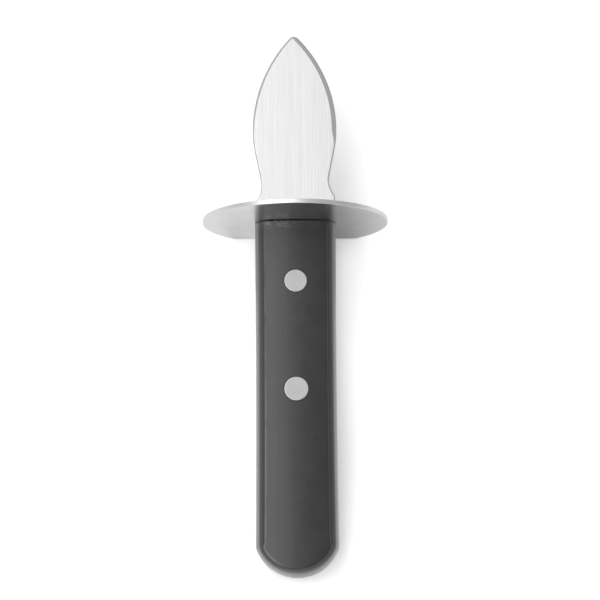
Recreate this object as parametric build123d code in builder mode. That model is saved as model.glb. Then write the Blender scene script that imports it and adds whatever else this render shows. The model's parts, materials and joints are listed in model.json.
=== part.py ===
from build123d import *
from math import acos, asin, atan2, cos, degrees, hypot, radians, sin, sqrt, tan
import os

# Oyster knife: a spear blade with a hidden tang, a round guard, a moulded handle and two pressed rivets.
# Millimetres. The knife lies as it does on a table, on the guard's flat edge and the end of the handle.

# Blade: its lengths run from the guard's front face, and its shoulder is nearly flush with the handle's sides
blade_length = 57.1
blade_thickness = 2.5
tip_thickness = 1.9
edge_thickness = 0.4
widest_place = 27.6
tip_radius = 2.2
belly_rise = 2.55
heel_radius = 33.0
heel_angle = 11.3
neck_radius = 7.7
shoulder_rise = 1.9
shoulder_step = 0.15

# Ground bevels round the spear, the right one heavier than the left
bevel_tip_inset = 1.4
bevel_tip_radius = 0.8
bevel_tip_shift = 0.25
left_bevel_width = 0.8
right_bevel_width = 1.25
left_eased_width = 0.4
right_eased_width = 0.8

# Tang inside the handle
tang_half_width = 7.0
tang_past_rivet = 8.8
tang_end_radius = 3.0
tang_clearance = 0.15

# Guard disc, with a flat edge that the knife rests on
guard_radius = 27.8
guard_thickness = 1.3
guard_flat_distance = 20.9
guard_corner_radius = 2.0
guard_rim_chamfer = 0.3
slot_clearance = 0.1
slot_corner_radius = 0.4

# Handle
handle_length = 106.7
handle_half_thickness = 5.8
handle_front_half_width = 12.15
handle_waist_depth = 0.15
handle_waist_place = 44.0
handle_rear_swell = 0.15
butt_flatness = 0.65
butt_corner_radius = 3.0
flank_width = 2.15
face_crown = 0.4
crease_radius = 0.6
pocket_end_gap = 1.0

# Rivets: each is a headed tube and a headed stud that is pressed into it
front_rivet_place = 18.6
rivet_spacing = 32.6
front_head_diameter = 6.8
rear_head_diameter = 7.2
head_thickness = 1.3
head_clearance = 0.04
tube_diameter = 4.8
tube_hole_clearance = 0.1
stud_diameter = 3.4
stud_fit_clearance = 0.03
stud_end_gap = 0.8
tube_end_gap = 0.4
stud_lead = 0.4

# Waste that the cuts run past
overrun = 1.0


rear_rivet_place = front_rivet_place + rivet_spacing
rivets = {
    "front": (front_rivet_place, front_head_diameter),
    "rear": (rear_rivet_place, rear_head_diameter),
}
head_seat = handle_half_thickness - head_thickness
tube_hole_diameter = tube_diameter + 2 * tube_hole_clearance

# Blade widths and places that follow from the sizes above
heel_turn = radians(heel_angle)
shoulder_half_width = handle_front_half_width - shoulder_step
neck_half_width = shoulder_half_width - shoulder_rise
blade_half_width = neck_half_width + belly_rise
widest_line = guard_thickness + widest_place
tip_place = guard_thickness + blade_length
tang_length = rear_rivet_place + tang_past_rivet
taper = atan2((blade_thickness - tip_thickness) / 2, blade_length)

# The handle's flank is an arc that bulges by flank_width over half the thickness
flank_radius = (handle_half_thickness**2 + flank_width**2) / (2 * flank_width)
waist_half_width = handle_front_half_width - handle_waist_depth
rear_half_width = handle_front_half_width + handle_rear_swell
butt_radius = rear_half_width + butt_flatness
butt_corner_place = butt_radius - handle_length - sqrt(butt_radius**2 - rear_half_width**2)

# Each broad face is crowned: it falls by face_crown from its middle to where the flanks begin
crown_half_width = handle_front_half_width - flank_width
crown_radius = (crown_half_width**2 + face_crown**2) / (2 * face_crown)
block_half_width = rear_half_width + overrun
block_side_height = handle_half_thickness - crown_radius + sqrt(crown_radius**2 - block_half_width**2)

# The knife tips up on two edges: the rear edge of the guard's flat and the butt's rounded lower crease
crease_down = handle_half_thickness - crease_radius
crease_back = sqrt((flank_radius - crease_radius) ** 2 - crease_down**2)
butt_contact_along = handle_length - flank_radius + crease_back
drop = guard_flat_distance - crease_down
base = butt_contact_along + guard_rim_chamfer
tilt = atan2(drop, base) - asin(crease_radius / hypot(drop, base))
axis_height = guard_flat_distance * cos(tilt) - guard_rim_chamfer * sin(tilt)

# The middle of the whole length lies over the origin
tip_reach = tip_place * cos(tilt) + edge_thickness / 2 * sin(tilt)
butt_reach = (handle_length - flank_radius) * cos(tilt) + flank_radius
along_knife = Vector(0, cos(tilt), sin(tilt))
knife = Plane(
    origin=(0, (butt_reach - tip_reach) / 2, axis_height),
    x_dir=(1, 0, 0),
    z_dir=(0, -sin(tilt), cos(tilt)),
)
underside = Plane(origin=knife.origin, x_dir=knife.x_dir, z_dir=-knife.z_dir)
across = Plane(origin=knife.origin, x_dir=knife.x_dir, z_dir=-along_knife)
taper_rise = guard_thickness * tan(taper)
blade_flat = knife.offset(blade_thickness / 2 + taper_rise).rotated((-degrees(taper), 0, 0))


def spear_side(side, tip_inset, tip_shift, round_radius, half_width):
    """One side of the spear, from its tip to its widest place. side is 1 for right and -1 for left."""
    length = tip_place - tip_inset - widest_line
    reach = half_width + side * tip_shift
    belly_radius = (reach**2 + length**2 - 2 * length * round_radius) / (2 * (reach - round_radius))
    turn = degrees(asin((belly_radius - reach) / (belly_radius - round_radius)))
    tip_arc = JernArc((-tip_shift, tip_place - tip_inset), (side, 0), round_radius, -side * turn)
    return JernArc(tip_arc @ 1, tip_arc % 1, belly_radius, -side * (90 - turn))


def heel_end(side, inset):
    """Where the heel's arc ends and its straight run to the neck begins."""
    arc_radius = heel_radius - inset
    half_width = blade_half_width - inset - arc_radius * (1 - cos(heel_turn))
    return Vector(side * half_width, widest_line - arc_radius * sin(heel_turn))


def shoulder_side(side, inset):
    """The straight heel, the hollow neck and the shoulder, down to the guard."""
    start = heel_end(side, inset)
    hollow = neck_radius + inset
    narrowing = side * start.X - (neck_half_width - inset) - hollow * (1 - cos(heel_turn))
    heel = Line(start, start - Vector(side * narrowing, narrowing / tan(heel_turn)))
    flare = degrees(acos(1 - shoulder_rise / hollow))
    neck = JernArc(heel @ 1, heel % 1, hollow, side * (heel_angle + flare))
    Line(neck @ 1, (side * (shoulder_half_width - inset), guard_thickness))


with BuildPart() as blade:
    # The blunt edge runs round the mid plane
    with BuildSketch(knife) as edge_outline:
        with BuildLine():
            for side in (1, -1):
                belly = spear_side(side, 0, 0, tip_radius, blade_half_width)
                JernArc(belly @ 1, belly % 1, heel_radius, -side * heel_angle)
                shoulder_side(side, 0)
            Line((-shoulder_half_width, guard_thickness), (shoulder_half_width, guard_thickness))
        make_face()
    extrude(amount=edge_thickness / 2, both=True)
    # Bevels rise from the edge to the flat round the spear, and run out into eased sides
    with BuildSketch(knife.offset(edge_thickness / 2)):
        add(edge_outline.sketch_local)
    with BuildSketch(blade_flat):
        with BuildLine():
            for side, width, eased in (
                (1, right_bevel_width, right_eased_width),
                (-1, left_bevel_width, left_eased_width),
            ):
                face_half_width = blade_half_width - width
                belly = spear_side(side, bevel_tip_inset, bevel_tip_shift, bevel_tip_radius, face_half_width)
                TangentArc(belly @ 1, heel_end(side, eased), tangent=(0, -1))
                shoulder_side(side, eased)
            Line(
                (left_eased_width - shoulder_half_width, guard_thickness),
                (shoulder_half_width - right_eased_width, guard_thickness),
            )
        make_face()
    loft(ruled=True)
    mirror(about=knife)
    # Tang
    with BuildSketch(knife):
        with Locations((0, guard_thickness)):
            Rectangle(2 * tang_half_width, tang_length + guard_thickness, align=(Align.CENTER, Align.MAX))
        fillet(vertices().group_by(Axis.Y)[0], tang_end_radius)
        with Locations([(0, -place) for place, head in rivets.values()]):
            Circle(tube_hole_diameter / 2, mode=Mode.SUBTRACT)
    extrude(amount=blade_thickness / 2, both=True)

with BuildPart() as guard:
    with BuildSketch(across):
        Circle(guard_radius)
        with Locations((0, -guard_flat_distance)):
            Rectangle(2 * guard_radius, guard_radius, align=(Align.CENTER, Align.MAX), mode=Mode.SUBTRACT)
        fillet(vertices(), guard_corner_radius)
        RectangleRounded(
            2 * (tang_half_width + slot_clearance),
            blade_thickness + 2 * slot_clearance,
            slot_corner_radius,
            mode=Mode.SUBTRACT,
        )
    extrude(amount=-guard_thickness)
    disc_faces = guard.faces().filter_by(Axis(knife.origin, along_knife))
    chamfer([edge for face in disc_faces for edge in face.outer_wire().edges()], guard_rim_chamfer)


with BuildPart() as handle:
    # A crowned block, longer and wider than the handle
    with BuildSketch(across):
        with BuildLine():
            for side in (1, -1):
                ThreePointArc(
                    (-block_half_width, side * block_side_height),
                    (0, side * handle_half_thickness),
                    (block_half_width, side * block_side_height),
                )
                Line((side * block_half_width, block_side_height), (side * block_half_width, -block_side_height))
        make_face()
    extrude(amount=handle_length + overrun)
    # A hollow-edged form cutter goes once round the waisted outline and leaves the bulging flanks
    with BuildLine(knife) as handle_outline:
        for side in (1, -1):
            ThreePointArc(
                (side * handle_front_half_width, overrun),
                (side * waist_half_width, -handle_waist_place),
                (side * rear_half_width, butt_corner_place),
            )
        ThreePointArc(
            (rear_half_width, butt_corner_place),
            (0, -handle_length),
            (-rear_half_width, butt_corner_place),
        )
        fillet(vertices().group_by(Axis.Y)[0], butt_corner_radius)
    with BuildSketch(across.offset(-overrun)):
        with BuildLine():
            ThreePointArc(
                (crown_half_width, -handle_half_thickness),
                (handle_front_half_width, 0),
                (crown_half_width, handle_half_thickness),
            )
            cutter_edge = handle_front_half_width + butt_radius
            cutter_top = handle_half_thickness + overrun
            Polyline(
                (crown_half_width, handle_half_thickness),
                (crown_half_width, cutter_top),
                (cutter_edge, cutter_top),
                (cutter_edge, -cutter_top),
                (crown_half_width, -cutter_top),
                (crown_half_width, -handle_half_thickness),
            )
        make_face()
    sweep(path=handle_outline.wires()[0], mode=Mode.SUBTRACT)
    # Soften the creases where the flanks meet the crowned faces, but not the end that seats on the guard
    crowned_faces = handle.faces().filter_by(GeomType.CYLINDER)
    creases = [edge for face in crowned_faces for edge in face.outer_wire().edges()]
    front_edges = handle.faces().sort_by(Axis(knife.origin, along_knife))[-1].edges()
    fillet([edge for edge in creases if edge not in front_edges], crease_radius)
    # Pocket for the tang
    with BuildSketch(across):
        Rectangle(2 * (tang_half_width + tang_clearance), blade_thickness + 2 * tang_clearance)
    extrude(amount=tang_length + pocket_end_gap, mode=Mode.SUBTRACT)
    # Holes for the rivets, counterbored from both faces for their heads
    for place, head in rivets.values():
        for face_plane, along in ((knife, -place), (underside, place)):
            with Locations(face_plane.offset(handle_half_thickness) * Location((0, along))):
                CounterBoreHole(
                    tube_hole_diameter / 2,
                    head / 2 + head_clearance,
                    head_thickness,
                    depth=handle_half_thickness,
                )

blade.part.label = "blade"
guard.part.label = "guard"
handle.part.label = "handle"
pieces = [blade.part, guard.part, handle.part]

for name, (place, head) in rivets.items():
    # The tube's head is flush with the handle's upper face
    with BuildPart() as tube:
        with BuildSketch(knife.offset(handle_half_thickness)):
            with Locations((0, -place)):
                Circle(head / 2)
        extrude(amount=-head_thickness)
        with BuildSketch(knife.offset(head_seat)):
            with Locations((0, -place)):
                Circle(tube_diameter / 2)
                Circle(stud_diameter / 2 + stud_fit_clearance, mode=Mode.SUBTRACT)
        extrude(amount=tube_end_gap - 2 * head_seat)
    # The stud's head is flush with the lower face, and its shank fills the tube
    with BuildPart() as stud:
        with BuildSketch(underside.offset(handle_half_thickness)):
            with Locations((0, place)):
                Circle(head / 2)
        extrude(amount=-head_thickness)
        with BuildSketch(underside.offset(head_seat)):
            with Locations((0, place)):
                Circle(stud_diameter / 2)
        extrude(amount=stud_end_gap - 2 * head_seat)
        shank_end = stud.faces().sort_by(Axis(knife.origin, knife.z_dir))[-1]
        chamfer(shank_end.edges(), stud_lead)
    tube.part.label = f"{name}_rivet_tube"
    stud.part.label = f"{name}_rivet_stud"
    pieces += [tube.part, stud.part]

os.makedirs("parts", exist_ok=True)
for piece in pieces:
    export_step(piece, f"parts/{piece.label}.step")
print(f"tilt {degrees(tilt):.2f} degrees, {len(pieces)} pieces")
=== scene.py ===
import json
import math

import bmesh
import bpy
from mathutils import Matrix, Vector


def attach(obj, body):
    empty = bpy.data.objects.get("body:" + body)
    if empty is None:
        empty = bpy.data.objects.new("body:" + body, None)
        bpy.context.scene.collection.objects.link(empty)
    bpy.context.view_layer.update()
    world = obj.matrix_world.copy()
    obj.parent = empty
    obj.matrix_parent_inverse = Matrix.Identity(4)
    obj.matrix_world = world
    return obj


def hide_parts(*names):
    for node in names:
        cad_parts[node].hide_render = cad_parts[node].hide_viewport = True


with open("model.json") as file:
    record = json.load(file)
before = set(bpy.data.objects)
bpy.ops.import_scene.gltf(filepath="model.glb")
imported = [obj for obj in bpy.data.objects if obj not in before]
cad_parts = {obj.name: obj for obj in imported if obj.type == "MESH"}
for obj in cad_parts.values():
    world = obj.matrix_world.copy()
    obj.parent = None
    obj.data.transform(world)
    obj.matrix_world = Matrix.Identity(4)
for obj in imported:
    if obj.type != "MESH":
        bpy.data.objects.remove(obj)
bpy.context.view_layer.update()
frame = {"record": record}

# The knife's own frame: x to its right, y along it to the tip, z off its upper face, from the guard's rear face
knifeSizes = {
    "guardFlatDistance": 20.9,
    "guardThickness": 1.3,
    "millimetre": 0.001,
}

flatMount = frame["record"]["mounts"][0]
knifeUp = -Vector(flatMount["axis"]).normalized()
knifeAlong = Vector((0, knifeUp.z, -knifeUp.y))
mm = knifeSizes["millimetre"]
knifeOrigin = (
    Vector(flatMount["pos_m"])
    + knifeUp * knifeSizes["guardFlatDistance"] * mm
    - knifeAlong * knifeSizes["guardThickness"] / 2 * mm
)
knifeTurn = Matrix((Vector((1, 0, 0)), knifeAlong, knifeUp)).transposed().to_4x4()
knifeToWorld = Matrix.Translation(knifeOrigin) @ knifeTurn @ Matrix.Scale(mm, 4)
knifeLean = math.atan2(knifeAlong.z, knifeAlong.y)  # how far the knife tips up towards its point
print("frame loaded, the knife leans", round(math.degrees(knifeLean), 2), "degrees")


def addToScene(item):
    bpy.context.scene.collection.objects.link(item)
    return item


# Camera

cameraSettings = {
    "pitch": 11.384,  # degrees off the knife's upper face, towards the butt
    "sideways": 0.18,
    "roll": -0.427,
    "distance": 900.0,
    "aim": (1.26, -23.36, 0.0),
    "focalPixels": 3007.5,
    "imagePixels": 600,
    "sensor": 36.0,
    "clip": (0.01, 20),
}


def buildCamera(settings):
    pitch, sideways, roll = (math.radians(settings[key]) for key in ("pitch", "sideways", "roll"))
    level = math.cos(pitch)
    towards = Vector((-math.sin(sideways) * level, -math.sin(pitch), math.cos(sideways) * level))
    upward = (Vector((0, 1, 0)) - towards.y * towards).normalized()
    rightward = upward.cross(towards)
    right = math.cos(roll) * rightward + math.sin(roll) * upward
    up = math.cos(roll) * upward - math.sin(roll) * rightward
    place = Vector(settings["aim"]) + towards * settings["distance"]
    turn = Matrix((right, up, towards)).transposed().to_4x4()
    data = bpy.data.cameras.new("camera")
    data.sensor_width = settings["sensor"]
    data.lens = settings["focalPixels"] * settings["sensor"] / settings["imagePixels"]
    data.clip_start, data.clip_end = settings["clip"]
    camera = addToScene(bpy.data.objects.new("camera", data))
    camera.matrix_world = Matrix.Translation(knifeToWorld @ place) @ knifeTurn @ turn
    bpy.context.scene.camera = camera


buildCamera(cameraSettings)
print("camera in place")


# Table and light

tableLook = {
    "size": 8.0,
    "color": 0.9,
    "cameraLift": 0.34,  # keeps the paper white all round the object's shadow
    # Places are metres across from the knife's middle line and behind the guard: begins, full, fades, gone
    "guardLift": 0.15,  # painted light that thins the guard's own shadow
    "guardLiftAcross": (0.011, 0.016),
    "guardLiftBehind": (-0.006, 0.001, 0.03, 0.075),
    # painted light that clears the shadow past the butt
    "buttLift": 0.14,
    "buttLiftBehind": (0.103, 0.108),
    "bladeShade": 0.09,  # painted shade that deepens the blade's shadow
    "bladeShadeAcross": (0.004, 0.01, 0.01, 0.024),
    "bladeShadeBehind": (-0.045, -0.002, 0.0, 0.004),
    "glossLift": (0.45, 0.12),  # how much brighter the paper is in mirror images, near and further off
    "glossAcross": (0.03, 0.06),
    "glossBehind": (0.009, 0.022),
    # painted light in mirror images of the paper, on a strip left of the knife
    "leftGlossLift": 0.17,
    "leftGlossAcross": (-0.024, -0.012, -0.005, 0.0),
}
skyLook = {
    "low": 0.53,  # the room's plain level
    "leftGain": 0.09,  # how much brighter the room is on the left, and darker on the right
    "high": 2.8,  # the long soft light over the knife's left side
    "lean": 22.5,  # degrees from straight above, to the left
    "coreHalfWidth": 5.0,
    "fadeHalfWidth": 28.5,
    "fadeAlong": (0.5, 0.9),
}


def newMaterial(name):
    material = bpy.data.materials.new(name)
    material.use_nodes = True
    tree = material.node_tree
    tree.nodes.clear()
    return material, tree, tree.nodes.new("ShaderNodeOutputMaterial")


def put(tree, socket, value):  # links a socket or sets a plain value
    if isinstance(value, bpy.types.NodeSocket):
        tree.links.new(value, socket)
    elif value is not None:
        socket.default_value = value


def mathNode(tree, operation, first, second=None):
    node = tree.nodes.new("ShaderNodeMath")
    node.operation = operation
    put(tree, node.inputs[0], first)
    put(tree, node.inputs[1], second)
    return node.outputs[0]


def product(tree, first, *others):
    for other in others:
        first = mathNode(tree, "MULTIPLY", first, other)
    return first


def remap(tree, value, low, high, newLow=0.0, newHigh=1.0):
    node = tree.nodes.new("ShaderNodeMapRange")
    node.interpolation_type = "SMOOTHSTEP"
    for name, setting in (
        ("Value", value), ("From Min", low), ("From Max", high), ("To Min", newLow), ("To Max", newHigh),
    ):
        put(tree, node.inputs[name], setting)
    return node.outputs[0]


def band(tree, value, begins, full, fades, gone):  # a mask that rises and falls again
    return product(tree, remap(tree, value, begins, full), remap(tree, value, fades, gone, 1.0, 0.0))


def mixTone(tree, share, first, second):
    node = tree.nodes.new("ShaderNodeMix")
    node.data_type = "RGBA"
    put(tree, node.inputs["Factor"], share)
    for name, tone in (("A", first), ("B", second)):
        socket = next(s for s in node.inputs if s.name == name and s.type == "RGBA")
        put(tree, socket, (tone,) * 3 + (1,) if isinstance(tone, float) else tone)
    return next(s for s in node.outputs if s.type == "RGBA")


def mixValue(tree, share, first, second):
    node = tree.nodes.new("ShaderNodeMix")
    put(tree, node.inputs["Factor"], share)
    put(tree, node.inputs["A"], first)
    put(tree, node.inputs["B"], second)
    return node.outputs["Result"]


def splitVector(tree, vector):
    node = tree.nodes.new("ShaderNodeSeparateXYZ")
    tree.links.new(vector, node.inputs[0])
    return node.outputs


def buildTable(look):
    bm = bmesh.new()
    bmesh.ops.create_grid(bm, x_segments=1, y_segments=1, size=look["size"] / 2)
    mesh = bpy.data.meshes.new("table")
    bm.to_mesh(mesh)
    bm.free()
    table = addToScene(bpy.data.objects.new("table", mesh))
    material, tree, output = newMaterial("whiteTable")
    diffuse = tree.nodes.new("ShaderNodeBsdfDiffuse")
    diffuse.inputs["Color"].default_value = (look["color"],) * 3 + (1,)
    rays = tree.nodes.new("ShaderNodeLightPath")
    glow = tree.nodes.new("ShaderNodeEmission")
    x, y, _ = splitVector(tree, tree.nodes.new("ShaderNodeTexCoord").outputs["Object"])
    behind = mathNode(tree, "SUBTRACT", knifeOrigin.y, y)
    across = mathNode(tree, "SUBTRACT", x, knifeOrigin.x)
    offLine = mathNode(tree, "ABSOLUTE", across)

    # What the camera sees: white paper that keeps the object's shadow, with painted light that thins the
    # guard's shadow and clears the shadow past the butt, and painted shade that deepens the blade's shadow
    underGuard = band(tree, behind, *look["guardLiftBehind"])
    underGuard = product(tree, underGuard, remap(tree, offLine, *look["guardLiftAcross"]), look["guardLift"])
    pastButt = remap(tree, behind, *look["buttLiftBehind"], 0.0, look["buttLift"])
    byBlade = product(
        tree, band(tree, across, *look["bladeShadeAcross"]), band(tree, behind, *look["bladeShadeBehind"]),
        look["bladeShade"],
    )
    seen = mathNode(tree, "ADD", mathNode(tree, "ADD", underGuard, pastButt), look["cameraLift"])
    seen = product(tree, mathNode(tree, "SUBTRACT", seen, byBlade), rays.outputs["Is Camera Ray"])

    # What steel and plastic mirror: brighter paper, with more painted light beside the handle and on a strip
    # left of the knife
    gloss = product(
        tree, remap(tree, behind, *look["glossBehind"]),
        remap(tree, offLine, *look["glossAcross"], *look["glossLift"]),
    )
    nearLeft = product(tree, band(tree, across, *look["leftGlossAcross"]), look["leftGlossLift"])
    mirrored = product(tree, mathNode(tree, "ADD", gloss, nearLeft), rays.outputs["Is Glossy Ray"])
    put(tree, glow.inputs["Strength"], mathNode(tree, "ADD", seen, mirrored))
    both = tree.nodes.new("ShaderNodeAddShader")
    tree.links.new(diffuse.outputs[0], both.inputs[0])
    tree.links.new(glow.outputs[0], both.inputs[1])
    tree.links.new(both.outputs[0], output.inputs["Surface"])
    mesh.materials.append(material)


def buildSky(look):
    world = bpy.data.worlds.new("studio")
    bpy.context.scene.world = world
    world.use_nodes = True
    tree = world.node_tree
    background = tree.nodes["Background"]
    direction = tree.nodes.new("ShaderNodeTexCoord").outputs["Generated"]
    x, y, z = splitVector(tree, direction)
    angle = mathNode(tree, "ARCTAN2", product(tree, x, -1.0), z)
    away = mathNode(tree, "ABSOLUTE", mathNode(tree, "SUBTRACT", angle, math.radians(look["lean"])))
    core, fade = math.radians(look["coreHalfWidth"]), math.radians(look["fadeHalfWidth"])
    across = remap(tree, away, core, fade, 1.0, 0.0)
    along = remap(tree, mathNode(tree, "ABSOLUTE", y), *look["fadeAlong"], 1.0, 0.0)
    strength = mathNode(tree, "ADD", product(tree, across, along, look["high"] - look["low"]), look["low"])
    strength = mathNode(tree, "SUBTRACT", strength, product(tree, x, look["leftGain"]))
    rays = tree.nodes.new("ShaderNodeLightPath")
    seen = remap(tree, rays.outputs["Is Camera Ray"], 0.0, 1.0, strength, 1.0)
    tree.links.new(seen, background.inputs["Strength"])
    background.inputs["Color"].default_value = (1, 1, 1, 1)


buildTable(tableLook)
buildSky(skyLook)
print("table and light ready")


# Effects that several finishes share

def newGroup(name, inputs, outputs):
    tree = bpy.data.node_groups.new(name, "ShaderNodeTree")
    for socketName, kind, value in inputs:
        socket = tree.interface.new_socket(name=socketName, in_out="INPUT", socket_type=kind)
        if value is not None:
            socket.default_value = value
    for socketName in outputs:
        tree.interface.new_socket(name=socketName, in_out="OUTPUT", socket_type="NodeSocketFloat")
    return tree, tree.nodes.new("NodeGroupInput").outputs, tree.nodes.new("NodeGroupOutput").inputs


def useGroup(tree, group, **values):
    node = tree.nodes.new("ShaderNodeGroup")
    node.node_tree = group
    for name, value in values.items():
        put(tree, node.inputs[name.replace("_", " ")], value)
    return node.outputs


def stretched(tree, vector, scale):
    node = tree.nodes.new("ShaderNodeVectorMath")
    node.operation = "MULTIPLY"
    put(tree, node.inputs[0], vector)
    put(tree, node.inputs[1], scale)
    return node.outputs[0]


def noiseNode(tree, vector, scale, detail=2.0, roughness=0.5):
    node = tree.nodes.new("ShaderNodeTexNoise")
    put(tree, node.inputs["Vector"], vector)
    put(tree, node.inputs["Scale"], scale)
    put(tree, node.inputs["Detail"], detail)
    put(tree, node.inputs["Roughness"], roughness)
    return node.outputs["Fac"]


def knifeCoordinates(tree):  # millimetres in the knife's own frame
    place = tree.nodes.new("ShaderNodeTexCoord").outputs["Object"]
    mapping = tree.nodes.new("ShaderNodeMapping")
    mapping.vector_type = "TEXTURE"
    mapping.inputs["Location"].default_value = knifeOrigin
    mapping.inputs["Rotation"].default_value = (knifeLean, 0, 0)
    mapping.inputs["Scale"].default_value = (mm, mm, mm)
    tree.links.new(place, mapping.inputs["Vector"])
    return mapping.outputs[0]


grainPattern = {
    "fineScale": 1.0,
    "broadScale": 0.22,
    "broadShare": 0.35,
    "lines": (0.32, 0.68),
    "hazeScale": 0.12,
    "haze": (0.35, 0.65),
}


def buildGrainGroup(pattern):
    # Fine lines that run along the second coordinate, in two widths, with a value around a half
    tree, given, result = newGroup(
        "brushedGrain",
        [
            ("Vector", "NodeSocketVector", None),
            ("Across", "NodeSocketFloat", 6.0),
            ("Along", "NodeSocketFloat", 0.12),
        ],
        ["Grain", "Haze"],
    )
    combine = tree.nodes.new("ShaderNodeCombineXYZ")
    put(tree, combine.inputs[0], given["Across"])
    put(tree, combine.inputs[1], given["Along"])
    put(tree, combine.inputs[2], given["Across"])
    drawnOut = stretched(tree, given["Vector"], combine.outputs[0])
    fine = noiseNode(tree, drawnOut, pattern["fineScale"], detail=3.0, roughness=0.65)
    broad = noiseNode(tree, drawnOut, pattern["broadScale"])
    fine = product(tree, fine, 1 - pattern["broadShare"])
    both = mathNode(tree, "ADD", fine, product(tree, broad, pattern["broadShare"]))
    put(tree, result["Grain"], remap(tree, both, *pattern["lines"]))
    haze = noiseNode(tree, given["Vector"], pattern["hazeScale"])
    put(tree, result["Haze"], remap(tree, haze, *pattern["haze"]))
    return tree


wearPattern = {
    "scratchTurns": (0.5, -0.9),
    "scratchShift": 40.0,  # sets the second set of scratches apart from the first
    "scratchStretch": (2.6, 0.16, 1.0),
    "scratchWidth": 0.012,
    "patchScale": 0.21,
    "patches": (0.5, 0.66),
    "blotchScale": 0.16,
    "blotches": (0.38, 0.66),
}


def buildWearGroup(pattern):
    # Short hairline scratches in two directions, and soft blotches where hands and cloths have been
    tree, given, result = newGroup(
        "fineWear",
        [
            ("Vector", "NodeSocketVector", None),
            ("Size", "NodeSocketFloat", 1.0),
            ("Amount", "NodeSocketFloat", 0.5),
        ],
        ["Scratches", "Blotches"],
    )
    lines = []
    for count, turn in enumerate(pattern["scratchTurns"]):
        shift = count * pattern["scratchShift"]
        mapping = tree.nodes.new("ShaderNodeMapping")
        mapping.inputs["Location"].default_value = (shift, shift, 0)
        mapping.inputs["Rotation"].default_value = (0, 0, turn)
        mapping.inputs["Scale"].default_value = pattern["scratchStretch"]
        tree.links.new(given["Vector"], mapping.inputs["Vector"])
        waves = noiseNode(tree, mapping.outputs[0], given["Size"], roughness=0.6)
        fromLine = mathNode(tree, "ABSOLUTE", mathNode(tree, "SUBTRACT", waves, 0.5))
        lines.append(remap(tree, fromLine, 0.0, pattern["scratchWidth"], 1.0, 0.0))
    patches = noiseNode(tree, given["Vector"], pattern["patchScale"], roughness=0.6)
    patches = remap(tree, patches, *pattern["patches"])
    blotches = noiseNode(tree, given["Vector"], pattern["blotchScale"], detail=4.0, roughness=0.6)
    scratches = product(tree, mathNode(tree, "MAXIMUM", *lines), patches, given["Amount"])
    put(tree, result["Scratches"], scratches)
    put(tree, result["Blotches"], remap(tree, blotches, *pattern["blotches"]))
    return tree


groups = {"grain": buildGrainGroup(grainPattern), "wear": buildWearGroup(wearPattern)}


# Finishes

def principled(tree, output, **values):
    shader = tree.nodes.new("ShaderNodeBsdfPrincipled")
    for name, value in values.items():
        put(tree, shader.inputs[name.replace("_", " ")], value)
    tree.links.new(shader.outputs[0], output.inputs["Surface"])


def bumpNode(tree, height, strength, distance):
    node = tree.nodes.new("ShaderNodeBump")
    node.inputs["Strength"].default_value = strength
    node.inputs["Distance"].default_value = distance
    put(tree, node.inputs["Height"], height)
    return node.outputs[0]


bladeFinish = {
    "dark": 0.735,
    "light": 0.765,
    "roughness": (0.24, 0.27),
    "across": 3.0,
    "along": 0.06,
    "hazeShare": 0.2,
    "wear": 0.5,
    "scratchShare": 0.5,
    "anisotropy": 0.25,
    "bump": (0.12, 0.00003),  # strength and depth in metres
}


def bladeMaterial(look):
    material, tree, output = newMaterial("brushedSteel")
    place = knifeCoordinates(tree)
    grain = useGroup(tree, groups["grain"], Vector=place, Across=look["across"], Along=look["along"])
    wear = useGroup(tree, groups["wear"], Vector=place, Size=1.0, Amount=look["wear"])
    lines = product(tree, grain["Grain"], 1 - look["hazeShare"])
    tone = mathNode(tree, "ADD", lines, product(tree, grain["Haze"], look["hazeShare"]))
    height = mathNode(tree, "SUBTRACT", grain["Grain"], product(tree, wear["Scratches"], look["scratchShare"]))
    tangent = tree.nodes.new("ShaderNodeTangent")
    tangent.direction_type = "UV_MAP"
    tangent.uv_map = "grain"
    principled(
        tree, output, Metallic=1.0, Anisotropic=look["anisotropy"], Tangent=tangent.outputs[0],
        Base_Color=mixTone(tree, tone, look["dark"], look["light"]),
        Roughness=remap(tree, grain["Grain"], 0.0, 1.0, *look["roughness"]),
        Normal=bumpNode(tree, height, *look["bump"]),
    )
    return material


guardFinish = {
    "dark": 0.75,
    "light": 0.79,
    "roughness": (0.22, 0.27),
    "grain": 3.0,
    "grainShare": 0.2,
    "wearSize": 1.4,
    "wear": 0.6,
    "rimStart": (27.6, 27.72),  # millimetres from the disc's middle
    "rimRoughness": 0.36,
    "bump": (0.05, 0.00002),
}


def guardMaterial(look):
    material, tree, output = newMaterial("polishedSteel")
    place = knifeCoordinates(tree)
    grain = useGroup(tree, groups["grain"], Vector=place, Across=look["grain"], Along=look["grain"])
    wear = useGroup(tree, groups["wear"], Vector=place, Size=look["wearSize"], Amount=look["wear"])
    x, _, z = splitVector(tree, place)
    squares = mathNode(tree, "ADD", product(tree, x, x), product(tree, z, z))
    rim = remap(tree, mathNode(tree, "SQRT", squares), *look["rimStart"])
    roughness = remap(tree, wear["Blotches"], 0.0, 1.0, *look["roughness"])
    height = mathNode(tree, "SUBTRACT", product(tree, grain["Grain"], look["grainShare"]), wear["Scratches"])
    principled(
        tree, output, Metallic=1.0,
        Base_Color=mixTone(tree, grain["Haze"], look["dark"], look["light"]),
        Roughness=mixValue(tree, rim, roughness, look["rimRoughness"]),
        Normal=bumpNode(tree, height, *look["bump"]),
    )
    return material


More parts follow.
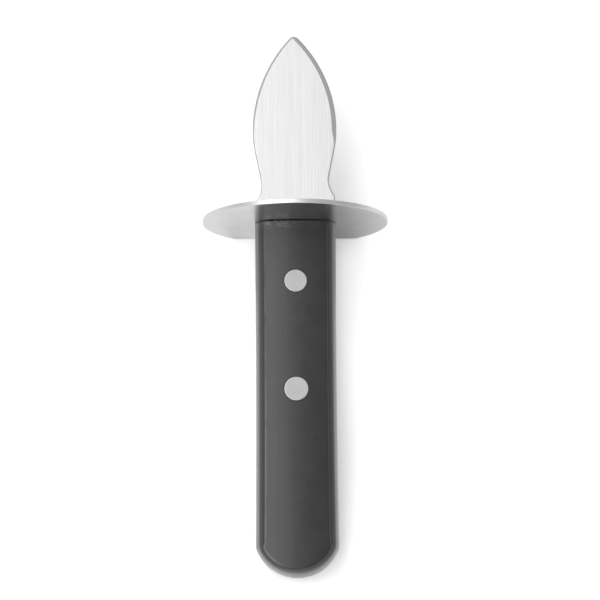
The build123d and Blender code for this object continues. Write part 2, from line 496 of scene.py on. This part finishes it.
# Places are millimetres across, along and under the handle's face
handleFinish = {
    "dark": 0.021,
    "light": 0.025,
    "roughness": (0.29, 0.33),
    "ior": 1.55,
    "wear": 0.8,
    "skinScale": 5.0,
    "scratchShare": 0.4,
    "bump": (0.12, 0.00003),
    "halfThickness": 5.8,
    "crownBend": 0.0092,  # half of one over the crown's radius
    "flankDepth": (0.4, 2.0),
    # painted sheen: a paler colour on the flanks stands in for the white table they mirror at a low angle
    "flankTone": 0.075,
    "flankRoughness": 0.42,
    "coatIor": 1.6,  # the flanks shine more at a low angle
    "creaseDepth": (0.0, 0.06, 0.12, 0.55),
    "creaseAcross": (-8.0, -2.0),  # only the left crease gets the painted highlight
    "creaseAlong": (-75.0, -15.0),
    "creaseHighlightShares": (0.75, 0.45),
    "creaseStretch": (1.0, 0.35, 1.0),
    "creaseScale": 0.5,
    "creaseBreaks": (0.05, 0.6),
    "creaseTone": 0.2,
    # painted highlight at the handle's front-left corner by the guard, broken into patches
    "frontHighlightAlong": (-3.2, -0.9),
    "frontHighlightAcross": (-6.5, 2.0),
    "frontHighlightShares": (1.0, 0.12),
    "frontHighlightStretch": (0.5, 1.6, 0.5),
    "frontHighlightScale": 1.1,
    "frontHighlightPatches": (0.44, 0.58),
    "frontHighlightTone": 0.13,
    "jointAlong": (-0.5, -0.2),  # painted shade: the dark line in the gap where the handle meets the guard
    "jointTone": 0.012,
    "jointRoughness": 0.7,
}


def handleMaterial(look):
    material, tree, output = newMaterial("blackPlastic")
    place = knifeCoordinates(tree)
    wear = useGroup(tree, groups["wear"], Vector=place, Size=1.0, Amount=look["wear"])
    x, y, z = splitVector(tree, place)

    # How far a point lies under the crowned face: creases are at nought, the flanks lie deeper
    top = mathNode(tree, "SUBTRACT", look["halfThickness"], product(tree, x, x, look["crownBend"]))
    depth = mathNode(tree, "SUBTRACT", top, mathNode(tree, "ABSOLUTE", z))
    flank = remap(tree, depth, *look["flankDepth"])

    # A painted highlight runs along the left crease, stronger towards the butt, and another sits at the
    # front-left corner, both broken into patches
    breaks = noiseNode(
        tree, stretched(tree, place, look["creaseStretch"]), look["creaseScale"], detail=4.0, roughness=0.65
    )
    paintedCreaseHighlight = product(
        tree, band(tree, depth, *look["creaseDepth"]), remap(tree, breaks, *look["creaseBreaks"]),
        remap(tree, x, *look["creaseAcross"], 1.0, 0.0),
        remap(tree, y, *look["creaseAlong"], *look["creaseHighlightShares"]),
    )
    frontPatches = noiseNode(
        tree, stretched(tree, place, look["frontHighlightStretch"]), look["frontHighlightScale"], detail=4.0, roughness=0.7
    )
    paintedFrontHighlight = product(
        tree, remap(tree, frontPatches, *look["frontHighlightPatches"]), remap(tree, y, *look["frontHighlightAlong"]),
        remap(tree, x, *look["frontHighlightAcross"], *look["frontHighlightShares"]),
    )
    # painted shade along the joint with the guard
    joint = remap(tree, y, *look["jointAlong"])

    # Painted light in the plastic's colour: a sheen on the flanks, highlights along the left crease and at the
    # front-left corner, and shade in the joint at the guard
    color = mixTone(tree, wear["Blotches"], look["dark"], look["light"])
    for mask, part in ((flank, "flank"), (paintedCreaseHighlight, "crease"), (paintedFrontHighlight, "frontHighlight"), (joint, "joint")):
        color = mixTone(tree, mask, color, look[part + "Tone"])
    roughness = remap(tree, wear["Blotches"], 0.0, 1.0, *look["roughness"])
    roughness = mixValue(tree, flank, roughness, look["flankRoughness"])
    roughness = mixValue(tree, joint, roughness, look["jointRoughness"])
    skin = noiseNode(tree, place, look["skinScale"], detail=3.0, roughness=0.6)
    height = mathNode(tree, "SUBTRACT", skin, product(tree, wear["Scratches"], look["scratchShare"]))
    principled(
        tree, output, Base_Color=color, Roughness=roughness, IOR=look["ior"],
        Coat_Weight=flank, Coat_Roughness=look["flankRoughness"], Coat_IOR=look["coatIor"],
        Normal=bumpNode(tree, height, *look["bump"]),
    )
    return material


rivetFinish = {
    "dark": 0.42,
    "light": 0.47,
    "roughness": (0.28, 0.36),
    "across": 4.0,
    "along": 0.5,
    "wearSize": 2.0,
    "wear": 0.6,
    "bump": (0.1, 0.00003),
}


def rivetMaterial(look):
    material, tree, output = newMaterial("sandedRivet")
    place = knifeCoordinates(tree)
    grain = useGroup(tree, groups["grain"], Vector=place, Across=look["across"], Along=look["along"])
    wear = useGroup(tree, groups["wear"], Vector=place, Size=look["wearSize"], Amount=look["wear"])
    height = mathNode(tree, "SUBTRACT", grain["Grain"], wear["Scratches"])
    principled(
        tree, output, Metallic=1.0,
        Base_Color=mixTone(tree, grain["Grain"], look["dark"], look["light"]),
        Roughness=remap(tree, grain["Haze"], 0.0, 1.0, *look["roughness"]),
        Normal=bumpNode(tree, height, *look["bump"]),
    )
    return material


materials = {
    "blade": bladeMaterial(bladeFinish),
    "guard": guardMaterial(guardFinish),
    "handle": handleMaterial(handleFinish),
    "rivet": rivetMaterial(rivetFinish),
}
print("finishes ready")


tolerance = 1e-4  # millimetres


def finishPiece(name, mesh, material, nodeName, sharpAngle=30.0):
    mesh.transform(knifeToWorld)
    mesh.materials.clear()
    mesh.materials.append(material)
    mesh.shade_smooth()
    mesh.set_sharp_from_angle(angle=math.radians(sharpAngle))
    piece = addToScene(bpy.data.objects.new(name, mesh))
    weighted = piece.modifiers.new("weightedNormals", "WEIGHTED_NORMAL")
    weighted.keep_sharp = True
    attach(piece, "root")
    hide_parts(nodeName)


def toMesh(name, bm):
    mesh = bpy.data.meshes.new(name)
    bm.to_mesh(mesh)
    bm.free()
    return mesh


def combine(mesh, toolMesh, operation):  # cuts or joins one solid with another
    body = addToScene(bpy.data.objects.new("body", mesh))
    tool = addToScene(bpy.data.objects.new("tool", toolMesh))
    change = body.modifiers.new("combine", "BOOLEAN")
    change.operation = operation
    change.solver = "EXACT"
    change.object = tool
    result = bpy.data.meshes.new_from_object(body.evaluated_get(bpy.context.evaluated_depsgraph_get()))
    for item in (body, tool):
        bpy.data.objects.remove(item)
    return result


def spinArc(bm, vert, centre, turn, steps):  # draws an arc of edges in the plan and returns its last vertex
    made = bmesh.ops.spin(
        bm, geom=[vert], cent=(centre.x, centre.y, vert.co.z), axis=(0, 0, 1), angle=turn, steps=steps
    )
    return next(item for item in made["geom_last"] if isinstance(item, bmesh.types.BMVert))


def drawLine(bm, vert, step):
    made = bmesh.ops.extrude_vert_indiv(bm, verts=[vert])
    bmesh.ops.translate(bm, verts=made["verts"], vec=(step.x, step.y, 0))
    return made["verts"][0]


def drawArc(bm, vert, heading, radius, turn, steps):  # a turn to the left is positive
    centre = vert.co.xy + Vector((-heading.y, heading.x)) * math.copysign(radius, turn)
    end = spinArc(bm, vert, centre, turn, steps)
    return end, Matrix.Rotation(turn, 2) @ heading


def arcCentre(first, second, third):
    (ax, ay), (bx, by), (cx, cy) = first, second, third
    double = 2 * (ax * (by - cy) + bx * (cy - ay) + cx * (ay - by))
    a, b, c = ax**2 + ay**2, bx**2 + by**2, cx**2 + cy**2
    return Vector((
        (a * (by - cy) + b * (cy - ay) + c * (ay - by)) / double,
        (a * (cx - bx) + b * (ax - cx) + c * (bx - ax)) / double,
    ))


def turnBetween(centre, start, end):
    first, second = start - centre, end - centre
    return math.atan2(first.x * second.y - first.y * second.x, first.dot(second))


def smoothShare(value):
    value = min(max(value, 0.0), 1.0)
    return value * value * (3 - 2 * value)


def addPeg(bm, radius, depth, place, middle):  # an upright cylinder on the knife's middle line
    bmesh.ops.create_cone(
        bm, cap_ends=True, segments=128, radius1=radius, radius2=radius, depth=depth,
        matrix=Matrix.Translation((0, -place, middle)),
    )


def extrudeUp(bm, faces, height):
    made = bmesh.ops.extrude_face_region(bm, geom=faces)["geom"]
    raised = [item for item in made if isinstance(item, bmesh.types.BMVert)]
    bmesh.ops.translate(bm, verts=raised, vec=(0, 0, height))


# Handle

handleSizes = {
    "length": 106.7,
    "halfThickness": 5.8,
    "frontHalfWidth": 12.15,
    "waistHalfWidth": 12.0,
    "waistPlace": 44.0,
    "rearHalfWidth": 12.3,
    "buttRadius": 12.95,
    "cornerRadius": 3.0,
    "sideFlankWidth": 2.55,
    "buttFlankWidth": 1.85,
    "lowerFlankWidth": 2.15,
    "creaseRadius": 2.0,
    "ringGather": 0.84,  # keeps the flank's rings clear of the rounded creases
    "frontEdgeRadius": 0.2,
    "faceCrown": 0.85,
    "faceStrips": 14,
    "sideSteps": 44,
    "buttSteps": 18,
    "flankCuts": 15,
    "buttBlend": (1.5, 4.0),  # where and over how far the sides' flank turns into the butt's
    "headSink": 1.3,
    "headGap": 0.13,
    "shankHoleRadius": 2.5,
    "pocketHalfWidth": 7.03,
    "pocketHalfHeight": 1.27,
    "pocketLength": 60.3,
}
rivetSizes = {
    "front": {"place": 18.6, "headDiameter": 6.8},
    "rear": {"place": 51.2, "headDiameter": 7.2},
}


def buildHandle(sizes, rivets):
    half = sizes["halfThickness"]
    buttCentre = Vector((0, sizes["buttRadius"] - sizes["length"]))
    cornerDrop = math.sqrt(sizes["buttRadius"] ** 2 - sizes["rearHalfWidth"] ** 2)
    front = Vector((sizes["frontHalfWidth"], 0))
    waist = Vector((sizes["waistHalfWidth"], -sizes["waistPlace"]))
    corner = Vector((sizes["rearHalfWidth"], buttCentre.y - cornerDrop))
    butt = Vector((0, -sizes["length"]))

    # Half the outline, drawn from the front to the middle of the butt, then mirrored and filled
    bm = bmesh.new()
    vert = bm.verts.new((front.x, front.y, -half))
    sideCentre = arcCentre(front, waist, corner)
    cornerVert = spinArc(bm, vert, sideCentre, turnBetween(sideCentre, front, corner), sizes["sideSteps"])
    spinArc(bm, cornerVert, buttCentre, turnBetween(buttCentre, corner, butt), sizes["buttSteps"])
    bmesh.ops.mirror(bm, geom=bm.verts[:] + bm.edges[:], axis="X", merge_dist=tolerance)
    bmesh.ops.contextual_create(bm, geom=bm.edges[:])
    cornerVerts = [v for v in bm.verts if (Vector((abs(v.co.x), v.co.y)) - corner).length < 10 * tolerance]
    kink = sizes["cornerRadius"] * math.tan(math.acos(sizes["rearHalfWidth"] / sizes["buttRadius"]) / 2)
    bmesh.ops.bevel(
        bm, geom=cornerVerts, offset=kink, offset_type="OFFSET", segments=6, profile=0.5,
        affect="VERTICES", material=-1,
    )
    extrudeUp(bm, bm.faces[:], 2 * half)
    bmesh.ops.recalc_face_normals(bm, faces=bm.faces[:])

    # The side walls bulge: each of their rings is drawn in by the flank's arc
    upright = [edge for edge in bm.edges if abs(edge.verts[0].co.z - edge.verts[1].co.z) > half]
    bmesh.ops.subdivide_edges(bm, edges=upright, cuts=sizes["flankCuts"], use_grid_fill=True)
    outward = {}
    for vert in bm.verts:
        normals = [f.normal for f in vert.link_faces if abs(f.normal.z) < 0.5 and f.normal.y < 0.99]
        total = sum(normals, Vector())
        if normals:
            outward[vert] = Vector((total.x, 0 if vert.co.y > -tolerance else total.y, 0)).normalized()
    blendStart, blendLength = sizes["buttBlend"]
    for vert, direction in outward.items():
        if abs(vert.co.z) < half - tolerance:
            vert.co.z *= sizes["ringGather"]
        height = vert.co.z
        atButt = smoothShare((corner.y + blendStart - vert.co.y) / blendLength)
        width = sizes["sideFlankWidth"] + (sizes["buttFlankWidth"] - sizes["sideFlankWidth"]) * atButt
        if height < 0:
            width = sizes["lowerFlankWidth"]
        radius = (half**2 + width**2) / (2 * width)
        vert.co -= direction * (radius - math.sqrt(radius**2 - height**2))

    # Creases and the front edge are rounded
    creases = [
        edge for edge in bm.edges
        if all(abs(abs(v.co.z) - half) < tolerance for v in edge.verts)
        and any(v.co.y < -tolerance for v in edge.verts)
    ]
    width = sizes["sideFlankWidth"]
    kinkAngle = math.acos(half / ((half**2 + width**2) / (2 * width)))
    bmesh.ops.bevel(
        bm, geom=creases, offset=sizes["creaseRadius"] * math.tan(kinkAngle / 2), offset_type="OFFSET",
        segments=6, profile=0.5, affect="EDGES", material=-1,
    )
    frontEdges = [
        edge for edge in bm.edges
        if all(abs(v.co.y) < tolerance for v in edge.verts)
        and not all(f.normal.y > 0.99 for f in edge.link_faces)
    ]
    bmesh.ops.bevel(
        bm, geom=frontEdges, offset=sizes["frontEdgeRadius"], offset_type="OFFSET",
        segments=4, profile=0.5, affect="EDGES", material=-1,
    )

    # The broad faces are cut in strips and crowned
    strips = sizes["faceStrips"]
    reach = sizes["frontHalfWidth"] - sizes["sideFlankWidth"]
    for strip in range(1, strips):
        broad = [face for face in bm.faces if abs(face.normal.z) > 0.999]
        around = {edge for face in broad for edge in face.edges}
        corners = {vert for face in broad for vert in face.verts}
        bmesh.ops.bisect_plane(
            bm, geom=broad + list(around) + list(corners), dist=tolerance,
            plane_co=(reach * (2 * strip / strips - 1), 0, 0), plane_no=(1, 0, 0),
        )
    crownRadius = (reach**2 + sizes["faceCrown"] ** 2) / (2 * sizes["faceCrown"])
    for vert in bm.verts:
        drop = crownRadius - math.sqrt(crownRadius**2 - vert.co.x**2)
        vert.co.z *= 1 - drop / half
    bmesh.ops.recalc_face_normals(bm, faces=bm.faces[:])
    body = toMesh("handleBody", bm)

    # Pocket for the tang, seats for the rivet heads from both faces, and holes for their shanks
    pocket = bmesh.new()
    bmesh.ops.create_cube(pocket, size=2.0)
    bmesh.ops.scale(
        pocket, verts=pocket.verts[:],
        vec=(sizes["pocketHalfWidth"], sizes["pocketLength"] / 2 + 1, sizes["pocketHalfHeight"]),
    )
    bmesh.ops.translate(pocket, verts=pocket.verts[:], vec=(0, 1 - sizes["pocketLength"] / 2, 0))
    seats, holes = bmesh.new(), bmesh.new()
    for rivet in rivets.values():
        for side in (1, -1):
            seatRadius = rivet["headDiameter"] / 2 + sizes["headGap"]
            addPeg(seats, seatRadius, 2 * sizes["headSink"], rivet["place"], side * half)
        addPeg(holes, sizes["shankHoleRadius"], 2 * half, rivet["place"], 0)
    body = combine(body, toMesh("handlePocket", pocket), "DIFFERENCE")
    body = combine(body, toMesh("handleSeats", seats), "DIFFERENCE")
    return combine(body, toMesh("handleHoles", holes), "DIFFERENCE")


finishPiece("handleGrip", buildHandle(handleSizes, rivetSizes), materials["handle"], "handle")
print("handle ready")


# Guard

guardSizes = {
    "radius": 27.8,
    "segments": 256,
    "cornerRadius": 2.0,
    "rimRadius": 0.12,
    "slotHalfWidth": 7.1,
    "slotHalfHeight": 1.35,
}


def buildGuard(sizes):
    # Drawn flat: x across, y up, z back towards the handle
    thickness, flat = knifeSizes["guardThickness"], knifeSizes["guardFlatDistance"]
    bm = bmesh.new()
    bmesh.ops.create_circle(bm, cap_ends=True, segments=sizes["segments"], radius=sizes["radius"])
    bmesh.ops.bisect_plane(
        bm, geom=bm.verts[:] + bm.edges[:] + bm.faces[:], dist=tolerance,
        plane_co=(0, -flat, 0), plane_no=(0, -1, 0), clear_outer=True,
    )
    turn = math.acos(flat / sizes["radius"])
    flatEnds = [v for v in bm.verts if abs(v.co.y + flat) < tolerance]
    bmesh.ops.bevel(
        bm, geom=flatEnds, offset=sizes["cornerRadius"] * math.tan(turn / 2), offset_type="OFFSET", segments=8,
        profile=0.5, affect="VERTICES", material=-1,
    )
    bmesh.ops.delete(bm, geom=bm.faces[:], context="FACES_ONLY")
    slot = bmesh.ops.create_grid(bm, x_segments=1, y_segments=1, size=1.0)["verts"]
    bmesh.ops.scale(bm, verts=slot, vec=(sizes["slotHalfWidth"], sizes["slotHalfHeight"], 1))
    bmesh.ops.delete(bm, geom=bm.faces[:], context="FACES_ONLY")
    bmesh.ops.triangle_fill(bm, edges=bm.edges[:], use_beauty=True)
    extrudeUp(bm, bm.faces[:], thickness)
    bmesh.ops.recalc_face_normals(bm, faces=bm.faces[:])
    rim = [
        edge for edge in bm.edges
        if edge.calc_face_angle(0) > math.radians(69)
        and all(max(abs(v.co.x), abs(v.co.y)) > 1.2 * sizes["slotHalfWidth"] for v in edge.verts)
        and abs(edge.verts[0].co.z - edge.verts[1].co.z) < tolerance
    ]
    bmesh.ops.bevel(
        bm, geom=rim, offset=sizes["rimRadius"], offset_type="OFFSET", segments=5, profile=0.5,
        affect="EDGES", material=-1,
    )
    bmesh.ops.rotate(bm, verts=bm.verts[:], matrix=Matrix.Rotation(math.pi / 2, 3, "X"))
    bmesh.ops.translate(bm, verts=bm.verts[:], vec=(0, thickness, 0))
    return toMesh("guardDisc", bm)


finishPiece("guardDisc", buildGuard(guardSizes), materials["guard"], "guard")
print("guard ready")


# Blade

# Where the two sides differ, 1 is the right and -1 the left
bladeSizes = {
    "length": 57.2,
    "halfThickness": 1.25,
    "tipHalfThickness": 0.95,
    "widestPlace": {1: 28.0, -1: 27.3},
    "halfWidth": {1: 12.66, -1: 12.7},
    "tipRadius": 1.7,
    "heelRadius": 33.0,
    "heelAngle": 11.3,
    "neckHalfWidth": {1: 10.28, -1: 10.1},
    "neckRadius": 7.7,
    "shoulder": 12.0,
    "bevelSlope": {1: 31.0, -1: 36.0},
    "bevelWidth": {1: 1.4, -1: 0.85},
    "easedWidth": {1: 0.38, -1: 0.38},
    "bevelFade": {1: (22.0, 28.5), -1: (18.0, 41.0)},  # where the grind runs out, from the guard
    "easedFade": (4.0, 9.5),  # where the eased edge runs out
    "easedEndShare": 0.1,
    "sideBlend": 4.0,  # over which the two bevels turn into each other at the tip
    "tipSteps": 10,
    "bellySteps": 48,
    "heelSteps": 14,
    "neckSteps": 24,
    "arrisAngles": (25, 80),
    "tangHalfWidth": 7.0,
    "tangLength": 60.0,
    "tangInset": (1.0, 0.01),  # how far the tang's block runs into the blade, and its faces under the blade's
    "shankHoleRadius": 2.5,
    "arrisRadius": 0.05,
}


def drawSpear(bm, sizes, side):
    # From the tip round the belly, the heel and the hollow neck to the guard
    rear = knifeSizes["guardThickness"]
    widestLine = rear + sizes["widestPlace"][side]
    reach, tipRadius = sizes["halfWidth"][side], sizes["tipRadius"]
    length = rear + sizes["length"] - widestLine
    bellyRadius = (reach**2 + length**2 - 2 * length * tipRadius) / (2 * (reach - tipRadius))
    tipTurn = math.asin((bellyRadius - reach) / (bellyRadius - tipRadius))
    heelTurn = math.radians(sizes["heelAngle"])

    vert = bm.verts.new((0, rear + sizes["length"], 0))
    vert, heading = drawArc(bm, vert, Vector((side, 0)), tipRadius, -side * tipTurn, sizes["tipSteps"])
    bellyTurn = math.pi / 2 - tipTurn
    vert, heading = drawArc(bm, vert, heading, bellyRadius, -side * bellyTurn, sizes["bellySteps"])
    vert, heading = drawArc(bm, vert, heading, sizes["heelRadius"], -side * heelTurn, sizes["heelSteps"])
    hollow = sizes["neckRadius"]
    neck, shoulder = sizes["neckHalfWidth"][side], sizes["shoulder"]
    narrowing = abs(vert.co.x) - neck - hollow * (1 - math.cos(heelTurn))
    vert = drawLine(bm, vert, Vector((-side * narrowing, -narrowing / math.tan(heelTurn))))
    flare = math.acos(1 - (shoulder - neck) / hollow)
    vert, heading = drawArc(bm, vert, heading, hollow, side * (heelTurn + flare), sizes["neckSteps"])
    drawLine(bm, vert, Vector((side * shoulder - vert.co.x, rear - vert.co.y)))


def bevelAt(sizes, place):  # its width and drop: full along the point, then it runs out to an eased edge
    widths, slopes = {}, sizes["bevelSlope"]
    fadeEnd, fadeStart = sizes["easedFade"]
    for side in (1, -1):
        end, start = (knifeSizes["guardThickness"] + value for value in sizes["bevelFade"][side])
        share = smoothShare((place.y - end) / (start - end))
        widths[side] = sizes["easedWidth"][side] * (1 - share) + sizes["bevelWidth"][side] * share
    right = smoothShare(0.5 + place.x / sizes["sideBlend"])
    width = widths[1] * right + widths[-1] * (1 - right)
    slope = slopes[1] * right + slopes[-1] * (1 - right)
    least = sizes["easedEndShare"]
    width *= least + (1 - least) * smoothShare((place.y - fadeEnd) / (fadeStart - fadeEnd))
    return width, width * math.tan(math.radians(slope))


def buildBlade(sizes, rivets):
    bm = bmesh.new()
    for side in (1, -1):
        drawSpear(bm, sizes, side)
    bmesh.ops.remove_doubles(bm, verts=bm.verts[:], dist=tolerance)
    bmesh.ops.contextual_create(bm, geom=bm.edges[:])
    bmesh.ops.inset_region(bm, faces=bm.faces[:], thickness=1.0, use_boundary=True, use_even_offset=True)
    rim = [edge for edge in bm.edges if edge.is_boundary]
    outline = {vert for edge in rim for vert in edge.verts}

    # The flat face thins towards the tip, and the bevels fall from it
    rear = knifeSizes["guardThickness"]
    fall = (sizes["halfThickness"] - sizes["tipHalfThickness"]) / sizes["length"]
    for vert in set(bm.verts) - outline:
        outer = next(e.other_vert(vert) for e in vert.link_edges if e.other_vert(vert) in outline)
        width, drop = bevelAt(sizes, outer.co)
        inward = vert.co - outer.co
        if outer.co.y < rear + tolerance:
            inward.y = 0
        vert.co = outer.co + inward * width
        vert.co.z = sizes["halfThickness"] - fall * (vert.co.y - rear)
        outer.co.z = vert.co.z - drop
    for item in bmesh.ops.extrude_edge_only(bm, edges=rim)["geom"]:
        if isinstance(item, bmesh.types.BMVert):
            item.co.z = 0
    bmesh.ops.mirror(bm, geom=bm.verts[:] + bm.edges[:] + bm.faces[:], axis="Z", merge_dist=tolerance)
    bmesh.ops.remove_doubles(bm, verts=bm.verts[:], dist=tolerance)
    bmesh.ops.recalc_face_normals(bm, faces=bm.faces[:])
    flattest, sharpest = sizes["arrisAngles"]
    arrises = [
        edge for edge in bm.edges
        if flattest < math.degrees(edge.calc_face_angle(0)) < sharpest
        and all(v.co.y > rear + 100 * tolerance for v in edge.verts)
    ]
    bmesh.ops.bevel(
        bm, geom=arrises, offset=sizes["arrisRadius"], offset_type="OFFSET", segments=2, profile=0.5,
        affect="EDGES", material=-1, clamp_overlap=True,
    )

    # The tang lies in the handle and is pierced for the rivets
    tang = bmesh.new()
    bmesh.ops.create_cube(tang, size=2.0)
    overlap, sink = sizes["tangInset"]
    inside = rear + overlap
    bmesh.ops.scale(
        tang, verts=tang.verts[:],
        vec=(sizes["tangHalfWidth"], (sizes["tangLength"] + inside) / 2, sizes["halfThickness"] - sink),
    )
    bmesh.ops.translate(tang, verts=tang.verts[:], vec=(0, (inside - sizes["tangLength"]) / 2, 0))
    holes = bmesh.new()
    for rivet in rivets.values():
        addPeg(holes, sizes["shankHoleRadius"], 4 * sizes["halfThickness"], rivet["place"], 0)
    mesh = combine(toMesh("bladeBody", bm), toMesh("bladeTang", tang), "UNION")
    mesh = combine(mesh, toMesh("bladeHoles", holes), "DIFFERENCE")
    grain = mesh.uv_layers.new(name="grain")
    for loop, place in zip(mesh.loops, grain.data):
        corner = mesh.vertices[loop.vertex_index].co
        place.uv = (corner.x / sizes["length"], corner.y / sizes["length"])
    return mesh


finishPiece(
    "spearBlade", buildBlade(bladeSizes, rivetSizes), materials["blade"], "blade", sharpAngle=25.0
)
print("blade ready")


# Rivets: a headed tube from above and a headed stud from below, which is pressed into it

rivetHead = {
    "height": 5.8,
    "thickness": 1.3,
    "rimRadius": 0.14,
    "rimSteps": 4,
    "spinSteps": 96,
    "tubeRadius": 2.4,
    "boreRadius": 1.73,
    "tubeEnd": -4.1,
    "studRadius": 1.7,
    "studEnd": 3.7,
    "studLead": 0.4,
}


def buildRivet(head, radius, place, shank):
    # Half the section is drawn as points off the axis, then spun round it
    seat = head["height"] - head["thickness"]
    section = [(0, head["height"]), (radius - 2 * head["rimRadius"], head["height"])]
    for step in range(head["rimSteps"] + 1):
        turn = math.pi / 2 * step / head["rimSteps"]
        section.append((
            radius - head["rimRadius"] * (1 - math.sin(turn)),
            head["height"] - head["rimRadius"] * (1 - math.cos(turn)),
        ))
    section += [(radius, seat)] + shank(seat)
    bm = bmesh.new()
    verts = [bm.verts.new((across, 0, up)) for across, up in section]
    edges = [bm.edges.new(pair) for pair in zip(verts, verts[1:])]
    bmesh.ops.spin(
        bm, geom=verts + edges, cent=(0, 0, 0), axis=(0, 0, 1), angle=math.tau,
        steps=head["spinSteps"], use_merge=True,
    )
    bmesh.ops.remove_doubles(bm, verts=bm.verts[:], dist=tolerance)
    bmesh.ops.recalc_face_normals(bm, faces=bm.faces[:])
    bmesh.ops.translate(bm, verts=bm.verts[:], vec=(0, -place, 0))
    return bm


def tubeSection(seat):
    end = rivetHead["tubeEnd"]
    outer, bore = rivetHead["tubeRadius"], rivetHead["boreRadius"]
    return [(outer, seat), (outer, end), (bore, end), (bore, seat), (0, seat)]


def studSection(seat):
    end, radius, lead = rivetHead["studEnd"], rivetHead["studRadius"], rivetHead["studLead"]
    return [(radius, seat), (radius, lead - end), (radius - lead, -end), (0, -end)]


for name, rivet in rivetSizes.items():
    radius = rivet["headDiameter"] / 2
    tube = buildRivet(rivetHead, radius, rivet["place"], tubeSection)
    stud = buildRivet(rivetHead, radius, rivet["place"], studSection)
    bmesh.ops.rotate(
        stud, verts=stud.verts[:], cent=(0, -rivet["place"], 0), matrix=Matrix.Rotation(math.pi, 3, "Y")
    )
    for half, bm in (("Tube", tube), ("Stud", stud)):
        finishPiece(
            name + "Rivet" + half, toMesh(name + half, bm), materials["rivet"],
            f"{name}_rivet_{half.lower()}",
        )
print("rivets ready")

bpy.context.scene.view_settings.view_transform = "Standard"
